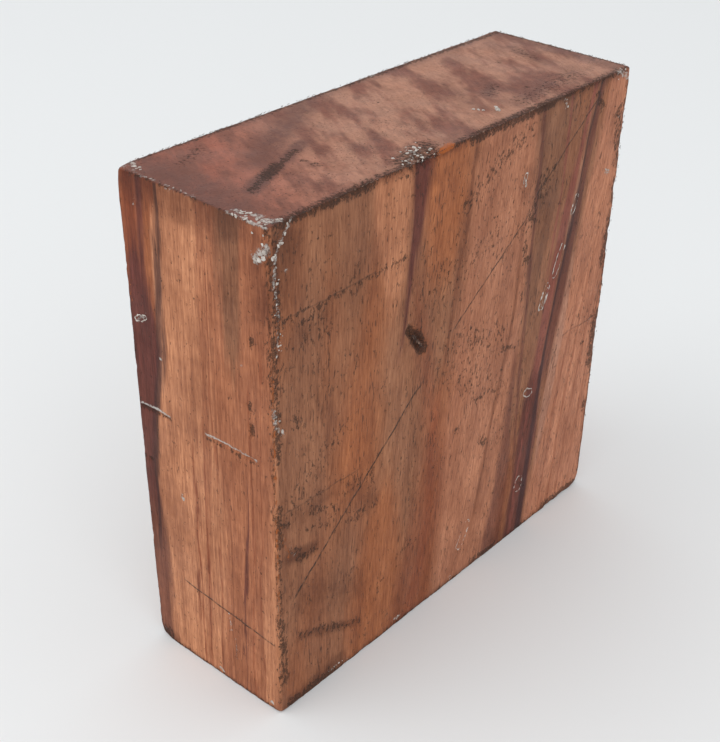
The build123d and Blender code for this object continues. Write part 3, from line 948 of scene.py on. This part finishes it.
SCRATCHES = [
    (front_place, on_front, (5.0, 38.0), (61.0, 87.0), 1.1, 1.0),
    (front_place, on_front, (70.5, 95.0), (108.5, 123.0), 0.9, 0.9),
    (front_place, on_front, (107.0, 124.5), (138.0, 148.5), 0.9, 0.95),
    (front_place, on_front, (0.0, 70.0), (34.0, 68.8), 0.9, 0.5),
    (front_place, on_front, (130.0, 69.5), (152.0, 69.3), 0.9, 0.45),
    (front_place, on_front, (6.0, 126.8), (38.0, 127.2), 0.9, 0.6),
    (left_place, on_left, (38.8, 28.2), (0.5, 25.2), 0.9, 0.95),
]
scratched = scratch(*SCRATCHES[0])
for row in SCRATCHES[1:]:
    scratched = wood.sum("MAXIMUM", scratched, scratch(*row))

# %% [markdown]
# ## Grime and wax over the wood
# Grime fills pores and fibres first, and wax clings in flecks. The painted shadow under the nick lips goes
# on with the grime, in the same dark colour. So a mark's strength is added to a fine noise, and only what
# passes a threshold is covered: a strong mark is solid and a weak one is scattered specks.

# %% Grime, painted shade, wax and bare wood
# The dark colour of grime, which also paints the shadow under the nick lips.
GRIME_AND_SHADE = (0.040, 0.020, 0.013)
KNOT_BLACK = (0.012, 0.008, 0.007)
WAX_WHITE = (0.56, 0.52, 0.48)
BARE_ORANGE = (0.42, 0.11, 0.026)
speckle = wood.noise(grain_place(0.7), 1.15, 4.0, 0.72)
grit = wood.noise(place, 0.55, 2.0, 0.7)
blotches = wood.noise(grain_place(0.5), 6.5, 2.0, 0.6)
# Dirt and the painted shadow under the nick lips, read as one mark.
dirt_and_shade_mark = wood.attribute("dirt_and_shade")
dirt_and_shade_field = wood.sway(speckle, 3.6, dirt_and_shade_mark)
dirt_and_shade_cover = wood.smooth(dirt_and_shade_field, 0.40, 0.70)
thickness = wood.linear(grit, 0.3, 0.65, 0.45, 0.95)
speck_zone = wood.linear(blotches, 0.3, 0.7, -0.08, 0.06)
speck_zone = wood.sum("MULTIPLY_ADD", wood.sum("MAXIMUM", side_grain, end_grain), -0.06, speck_zone)
loose_specks = wood.smooth(wood.sum("ADD", speckle, speck_zone), 0.605, 0.67, 0, 0.62)
skips = wood.linear(speckle, 0.36, 0.56, 0.25, 1.0)
dark = wood.sum("MAXIMUM", wood.sum("MULTIPLY", dirt_and_shade_cover, thickness), loose_specks)
dark = wood.sum("MAXIMUM", dark, wood.sum("MULTIPLY", scratched, skips))
grime_and_shade_colour = wood.blend(wood.smooth(dirt_and_shade_mark, 0.95, 1.4), GRIME_AND_SHADE, KNOT_BLACK)
colour = wood.blend(dark, colour, grime_and_shade_colour)
bare = wood.sway(speckle, 1.8, wood.attribute("bare"))
colour = wood.blend(wood.smooth(bare, 0.45, 0.75, 0, 0.8), colour, BARE_ORANGE)
fleck = wood.noise(place, 0.95, 4.0, 0.75)
wax_field = wood.sway(fleck, 2.4, wood.attribute("wax"))
wax_cover = wood.smooth(wax_field, 0.45, 0.95)
colour = wood.blend(wood.sum("MULTIPLY", wax_cover, 0.8), colour, WAX_WHITE)
wood.put(wood.shader.inputs["Base Color"], colour)

# %% Gloss and relief
worn = wood.noise(grain_place(0.6), 12.0, 2.0)
gloss = wood.linear(worn, 0.3, 0.7, 0.48, 0.64)
gloss = wood.sum("MULTIPLY_ADD", dirt_and_shade_cover, 0.15, gloss)
wood.put(wood.shader.inputs["Roughness"], gloss)
wood.put(wood.shader.inputs["Specular IOR Level"], 0.2)
relief = wood.sum("MULTIPLY_ADD", pore, -0.6, wood.sum("MULTIPLY", fine_lines, 0.5))
relief = wood.sum("MULTIPLY_ADD", dark, -0.6, relief)
relief = wood.sum("MULTIPLY_ADD", wax_cover, 0.8, relief)
relief = wood.sum("MULTIPLY_ADD", mottle, 0.6, relief)
bump = wood.nodes.new("ShaderNodeBump")
bump.inputs["Strength"].default_value = 0.9
bump.inputs["Distance"].default_value = 0.2 * MM
wood.put(bump.inputs["Height"], relief)
wood.put(wood.shader.inputs["Normal"], bump.outputs[0])
wood_block.data.materials.append(wood.material)
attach(wood_block, "root")
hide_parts("blank")
print("hardwood has", len(wood.nodes), "nodes")

# %% [markdown]
# ## Wax crumbs and rims
# Where the sealing wax was thick it has broken into crumbs, and flakes that fell away left a thin raised
# rim. A crumb and a rim can both be built by stacking rings along a path: a crumb's rings grow and shrink
# along a short line, and a rim's rings keep one size round a closed loop.

# %% Stacked rings
SIDES_OF_RING = 8


def ring_faces(count, rings, closed):
    """Triangles over count stacks of rings. Each stack has rings * sides points in order, and an open stack
    has one more point at each end, which closes it with a fan."""
    stack = rings * SIDES_OF_RING + (0 if closed else 2)
    joined = rings if closed else rings - 1
    ring, step = np.meshgrid(np.arange(joined), np.arange(SIDES_OF_RING), indexing="ij")
    here, after = ring * SIDES_OF_RING, (ring + 1) % rings * SIDES_OF_RING
    beside = (step + 1) % SIDES_OF_RING
    a, b, c, d = here + step, here + beside, after + beside, after + step
    faces = [np.stack([a, b, c], -1).reshape(-1, 3), np.stack([a, c, d], -1).reshape(-1, 3)]
    if not closed:
        around = np.arange(SIDES_OF_RING)
        first, last = np.full(SIDES_OF_RING, stack - 2), np.full(SIDES_OF_RING, stack - 1)
        end_ring = (rings - 1) * SIDES_OF_RING
        faces.append(np.stack([first, (around + 1) % SIDES_OF_RING, around], -1))
        faces.append(np.stack([last, end_ring + around, end_ring + (around + 1) % SIDES_OF_RING], -1))
    faces = np.concatenate(faces)
    return (faces[None] + stack * np.arange(count)[:, None, None]).reshape(-1, 3)


def ring_points(centres, side_a, side_b, ends=None):
    """Rings of centre + a * cos(angle) + b * sin(angle), for arrays of (stack, ring, 3), then two ends."""
    angle = np.arange(SIDES_OF_RING) * 2 * np.pi / SIDES_OF_RING
    sideways = side_a[:, :, None] * np.cos(angle)[:, None] + side_b[:, :, None] * np.sin(angle)[:, None]
    ring = centres[:, :, None] + sideways
    points = ring.reshape(len(centres), -1, 3)
    return points if ends is None else np.concatenate([points, ends], axis=1)


def outwards(points, faces):
    """The faces, turned round if they enclose a negative volume."""
    a, b, c = (points[faces[:, column]] - points.mean(axis=0) for column in range(3))
    volume = np.einsum("ij,ij->", a, np.cross(b, c))
    return faces if volume > 0 else faces[:, ::-1]


# %% Crumbs
CRUMB_RINGS = 6
# Each row is the two ends of a strip, its spread, how many crumbs lie in it and their size.
CRUMBS = [
    ((8, 0, TOP), (2.4, 0, 145), 0.5, 10, 0.3),
    ((2.2, 0, 145), (3, 0, 119), 0.6, 16, 0.26),
    ((0.6, 0, 103), (3.6, 0, 95), 0.6, 8, 0.32),
    ((0, 3.6, 144), (0, 1, 147), 1.1, 16, 0.44),
    ((0, 12, TOP), (0, 2, TOP), 0.5, 7, 0.32),
    ((2.4, 12, TOP), (2.6, 3, TOP), 1.1, 16, 0.37),
    ((1, 2.6, TOP), (6, 1, TOP), 0.9, 10, 0.37),
    ((0.8, 44, TOP), (0.8, 26, TOP), 0.3, 8, 0.23),
    ((1.8, 46, TOP), (5, 49.6, TOP), 1, 10, 0.39),
    ((50.5, 1, TOP), (61, 4, TOP), 2.2, 26, 0.35),
    ((56, 6, TOP), (61, 8, TOP), 1.2, 7, 0.28),
    ((95.6, 6.6, TOP), (97.2, 9, TOP), 0.2, 9, 0.60),
    ((90.8, 12.6, TOP), (93.4, 8.8, TOP), 0.5, 4, 0.3),
    ((147, 0, TOP), (152, 0, 150), 0.9, 8, 0.32),
    ((101, 0, 133.6), (102.4, 0, 130.6), 0.3, 4, 0.26),
    ((145.8, 0, 121.6), (147, 0, 120.4), 0.8, 5, 0.37),
    ((118.4, 0, 151.6), (119.6, 0, 149), 0.3, 4, 0.3),
    ((49.5, 0, 2.6), (53, 0, 2.6), 0.4, 4, 0.3),
    ((77.4, 0, 2.2), (79, 0, 1.4), 0.3, 2, 0.26),
    ((20, 0, 2), (30, 0, 2.4), 0.5, 5, 0.23),
    ((0, 36.2, 59.8), (0, 35.8, 59), 0.2, 2, 0.37),
    ((0, 40.4, 102.1), (0, 40.2, 101.9), 0.1, 2, 0.3),
    ((0, 19.8, 27), (0, 18.8, 20), 0.4, 5, 0.21),
    ((0, 24.4, 2.2), (0, 23.4, 1.8), 0.3, 3, 0.33),
    ((0, 4, 2.4), (0, 3.4, 2.2), 0.3, 2, 0.3),
    ((44, THICK, 149), (52, THICK, 146), 1.2, 12, 0.39),
    ((WIDE, 49, 139), (WIDE, 45, 136), 0.9, 8, 0.35),
]
chance = np.random.default_rng(61)
crumb_place, crumb_size = [], []
for start, end, spread, count, size in CRUMBS:
    share = chance.uniform(0, 1, (count, 1))
    strewn = np.array(start) + share * (np.array(end) - start) + chance.normal(0, spread, (count, 3))
    crumb_place.append(np.clip(strewn, 0.05, SIZES - 0.05))
    crumb_size.append(size * chance.uniform(0.45, 1.25, count))
crumb_place, crumb_size = np.concatenate(crumb_place), np.concatenate(crumb_size)
gaps = np.concatenate([crumb_place, SIZES - crumb_place], axis=1)
nearest = np.argmin(gaps, axis=1)
facing = np.where(nearest[:, None] < 3, -1.0, 1.0) * np.eye(3)[nearest % 3]
crumb_place = crumb_place + facing * np.min(gaps, axis=1)[:, None]
chosen = np.random.default_rng(62).normal(0, 1, crumb_place.shape)
run = np.cross(facing, chosen)
run /= np.linalg.norm(run, axis=1, keepdims=True)
aside = np.cross(facing, run)
height = np.linspace(-0.86, 0.86, CRUMB_RINGS)
half_length = (crumb_size * chance.uniform(0.8, 1.9, len(crumb_size)))[:, None, None]
round_off = np.sqrt(1 - height ** 2)[None, :, None] * crumb_size[:, None, None]
centres = crumb_place[:, None] + run[:, None] * height[None, :, None] * half_length
side_a = aside[:, None] * round_off
side_b = facing[:, None] * round_off * 0.42
ends = crumb_place[:, None] + run[:, None] * np.array([-1.0, 1.0])[None, :, None] * half_length
crumbs = ring_points(centres, side_a, side_b, ends)
crumbs += (facing * uneven(crumb_place, 1.0, 63)[:, None] * 0.04)[:, None]
crumbs = crumbs.reshape(-1, 3)
lumpy = np.stack([uneven(crumbs, 0.5, seed) for seed in (64, 65, 66)], axis=1)
crumbs = lean_out(crumbs + 0.10 * lumpy)
crumb_faces = outwards(crumbs, ring_faces(len(crumb_place), CRUMB_RINGS, closed=False))
wax_crumbs = make_mesh("wax_crumbs", crumbs, crumb_faces)
print(len(crumb_place), "crumbs of wax,", len(crumb_faces), "triangles")

# %% Rims
RIM_RINGS = 72
RIM_SQUARENESS = 3.0
# Each row is the rim's centre, its half length and half width, its lean from upright in degrees, the face
# that it lies on, and how thick the wax is.
RIMS = [
    ((117.8, 88.8), 4.3, 1.5, 24, "front", 0.26),
    ((118.2, 88.4), 3.2, 0.5, 25, "front", 0.18),
    ((123.7, 98.8), 5.4, 1.4, 19, "front", 0.15),
    ((129.6, 116.0), 3.4, 0.9, 21, "front", 0.15),
    ((113.8, 55.8), 1.4, 2.4, 12, "front", 0.16),
    ((113.4, 20.0), 2.9, 2.0, 8, "front", 0.20),
    ((83.7, 16.0), 5.2, 1.7, 27, "front", 0.16),
    ((101.6, 132.2), 2.0, 0.6, 12, "front", 0.14),
    ((46.9, 111.8), 0.75, 2.3, 24, "left", 0.22),
]
angle = np.arange(RIM_RINGS) * 2 * np.pi / RIM_RINGS
squared = np.abs(np.cos(angle)) ** RIM_SQUARENESS + np.abs(np.sin(angle)) ** RIM_SQUARENESS
corner_share = squared ** (-1 / RIM_SQUARENESS)
loops, thick_parts, normals = [], [], []
for (first, up), half_length, half_width, slant, face, thick in RIMS:
    swing = radians(slant)
    local_u, local_v = half_width * corner_share * np.cos(angle), half_length * corner_share * np.sin(angle)
    ahead = first + local_u * np.cos(swing) + local_v * np.sin(swing)
    rise = up + local_v * np.cos(swing) - local_u * np.sin(swing)
    zero = np.zeros(RIM_RINGS)
    loops.append(np.stack([ahead, zero, rise] if face == "front" else [zero, ahead, rise], axis=1))
    normals.append((0, -1, 0) if face == "front" else (-1, 0, 0))
    thick_parts.append(np.full(RIM_RINGS, thick))
loops, thick_parts, normals = np.array(loops), np.array(thick_parts), np.array(normals, float)[:, None]
wobble = np.stack([uneven(loops.reshape(-1, 3), 1.3, seed, layers=3) for seed in (71, 72, 73)], axis=1)
loops = loops + 0.32 * wobble.reshape(loops.shape) * (1 - np.abs(normals))
heading = np.roll(loops, -1, axis=1) - np.roll(loops, 1, axis=1)
heading /= np.linalg.norm(heading, axis=2, keepdims=True)
inward = np.cross(heading, np.broadcast_to(normals, heading.shape))
thinning = uneven(loops.reshape(-1, 3), 1.1, 74, layers=3).reshape(thick_parts.shape)
pinch = np.clip(0.55 + 1.3 * thinning, 0.03, 1.8)
rim_radius = (thick_parts * pinch)[..., None]
rims = ring_points(loops, inward * rim_radius, normals * rim_radius * 0.6)
rims = lean_out(rims.reshape(-1, 3))
rim_faces = outwards(rims, ring_faces(len(RIMS), RIM_RINGS, closed=True))
wax_rims = make_mesh("wax_rims", rims, rim_faces)
print(len(RIMS), "rims of wax,", len(rim_faces), "triangles")

# %% [markdown]
# ## Torn fibres
# A saw that leaves the wood tears its last fibres, so the far arrises of the top carry a dark fringe, and
# the knot is full of broken ends. A fibre is a stack of rings that bends over and thins to a point.

# %% Fringe and knot fibres
FIBRE_RINGS = 6
# Each row is the two ends of a strip, the way its fibres point, how many there are, their length and
# thickness.
FRINGES = [
    ((4, THICK, TALL), (150, THICK, TALL), (0.9, 0.15, 0.12), 200, 0.7, 0.09),
    ((WIDE, 2, TALL), (WIDE, THICK - 1, TALL), (0.2, 0.9, 0.1), 80, 0.7, 0.09),
    ((WIDE, 0, 140), (WIDE, 0, 20), (0.03, -0.05, -1.0), 50, 0.9, 0.08),
    ((6, 0, TALL), (112, 0, TALL), (1.0, -0.08, 0.06), 110, 1.1, 0.09),
    ((0, 0, 120), (0, 0, 12), (-0.03, -0.05, -1.0), 50, 1.0, 0.07),
    ((53.5, 0.1, 102.4), (57.8, 0.1, 97.2), (0.62, 0, -0.78), 34, 2.4, 0.13),
]
chance = np.random.default_rng(81)
roots, ways, sizes = [], [], []
for start, end, way, count, size, thick in FRINGES:
    share = chance.uniform(0, 1, (count, 1))
    roots.append(np.array(start) + share * (np.array(end) - start) + chance.normal(0, 0.10, (count, 3)))
    ways.append(np.array(way) + chance.normal(0, 0.12, (count, 3)))
    grown = size * chance.uniform(0.35, 1.2, count)
    sizes.append(np.stack([grown, thick * chance.uniform(0.6, 1.3, count)], axis=1))
roots, ways, sizes = np.concatenate(roots), np.concatenate(ways), np.concatenate(sizes)
ways /= np.linalg.norm(ways, axis=1, keepdims=True)
across_way = np.cross(ways, chance.normal(0, 1, ways.shape))
across_way /= np.linalg.norm(across_way, axis=1, keepdims=True)
third_way = np.cross(ways, across_way)
step = np.linspace(0, 1, FIBRE_RINGS)[None, :, None]
fibre_length, fibre_thick = sizes[:, :1, None], sizes[:, 1:, None]
BEND = 0.25
spine = roots[:, None] + ways[:, None] * fibre_length * (step - 0.3)
spine += across_way[:, None] * BEND * fibre_length * step ** 2
slim = fibre_thick * (1 - 0.85 * step)
tips = np.concatenate([spine[:, :1] - ways[:, None] * 0.1, spine[:, -1:] + ways[:, None] * 0.15], axis=1)
fibres = ring_points(spine, across_way[:, None] * slim, third_way[:, None] * slim, tips).reshape(-1, 3)
fibres[:, 2] = np.maximum(fibres[:, 2], 0.02)
fibres = lean_out(fibres)
fibre_faces = outwards(fibres, ring_faces(len(roots), FIBRE_RINGS, closed=False))
torn_fibres = make_mesh("torn_fibres", fibres, fibre_faces)
print(len(roots), "torn fibres,", len(fibre_faces), "triangles")

# %% [markdown]
# The wax is pale and a little glossy, and dust greys it in clouds. A torn fibre is dark where dirt has
# soaked in and pale where it broke later, and it has no gloss.

# %% Finishes of the small pieces
WAX_DUSTY = (0.30, 0.24, 0.20)
WAX_CLEAN = (0.62, 0.57, 0.52)
FIBRE_DARK = (0.045, 0.020, 0.013)
FIBRE_PALE = (0.26, 0.16, 0.115)
wax = Finish("sealing_wax")
wax_cloud = wax.noise(wax.add("TexCoord", result=3), 1.2 * MM, 2.0)
wax_colour = wax.blend(wax.linear(wax_cloud, 0.3, 0.7), WAX_DUSTY, WAX_CLEAN)
wax.put(wax.shader.inputs["Base Color"], wax_colour)
wax.put(wax.shader.inputs["Roughness"], 0.42)
fibre_finish = Finish("torn_hardwood")
fibre_cloud = fibre_finish.noise(fibre_finish.add("TexCoord", result=3), 1.4 * MM, 2.0)
fibre_colour = fibre_finish.blend(fibre_finish.smooth(fibre_cloud, 0.42, 0.68), FIBRE_DARK, FIBRE_PALE)
fibre_finish.put(fibre_finish.shader.inputs["Base Color"], fibre_colour)
fibre_finish.put(fibre_finish.shader.inputs["Roughness"], 0.75)
for piece, finish in ((wax_crumbs, wax), (wax_rims, wax), (torn_fibres, fibre_finish)):
    piece.data.materials.append(finish.material)
    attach(piece, "root")
print("small pieces ride the block")

# %% [markdown]
# ## The stage
# The block stands on a wide pale floor under an even sky with two broad soft lamps to the left, one behind
# it and one in front, so its soft shadow falls to the right.

# %% Floor
floor_mesh = bpy.data.meshes.new("floor")
REACH = 6.0
floor_corners = [(-REACH, -REACH, 0), (REACH, -REACH, 0), (REACH, REACH, 0), (-REACH, REACH, 0)]
floor_mesh.from_pydata(floor_corners, [], [(0, 1, 2, 3)])
floor = bpy.data.objects.new("floor", floor_mesh)
bpy.context.scene.collection.objects.link(floor)
paper = Finish("pale_paper")
paper.put(paper.shader.inputs["Base Color"], (0.80, 0.81, 0.81, 1))
paper.put(paper.shader.inputs["Roughness"], 0.9)
floor.data.materials.append(paper.material)

# %% Sky and lamps
world = bpy.data.worlds.new("even_sky")
bpy.context.scene.world = world
world.use_nodes = True
world.node_tree.nodes["Background"].inputs["Color"].default_value = (0.97, 0.985, 1.0, 1)
world.node_tree.nodes["Background"].inputs["Strength"].default_value = 0.90


def soft_lamp(name, at, towards, side, power):
    """A square area lamp that looks from one place towards another."""
    lamp = bpy.data.lights.new(name, "AREA")
    lamp.size = side
    lamp.energy = power
    made = bpy.data.objects.new(name, lamp)
    made.location = at
    made.rotation_euler = (Vector(towards) - Vector(at)).to_track_quat("-Z", "Y").to_euler()
    bpy.context.scene.collection.objects.link(made)
    return made


soft_lamp("window", (-1.0, 0.5, 1.2), (0, 0, 0.05), 1.2, 5.2)
soft_lamp("room", (-0.8, -0.95, 0.95), (0, 0, 0.05), 1.2, 4.0)

# %% Camera
CAMERA_PLACE = np.array([-186.4, -189.4, 278.3])
LENS = 63.44
LOOKS_TO = -49.1
LOOKS_DOWN = 31.58
ROLL = 1.11
camera = bpy.data.objects.new("camera", bpy.data.cameras.new("camera"))
camera.data.lens = LENS
camera.data.sensor_width = 36.0
camera.data.clip_start = 0.01
turn = Matrix.Rotation(radians(LOOKS_TO), 4, "Z") @ Matrix.Rotation(radians(90 - LOOKS_DOWN), 4, "X")
roll = Matrix.Rotation(radians(ROLL), 4, "Z")
camera.matrix_world = Matrix.Translation(to_metres(CAMERA_PLACE)) @ turn @ roll
bpy.context.scene.collection.objects.link(camera)
bpy.context.scene.camera = camera
bpy.context.scene.view_settings.view_transform = "Standard"
print("camera at", [round(value, 3) for value in camera.location])
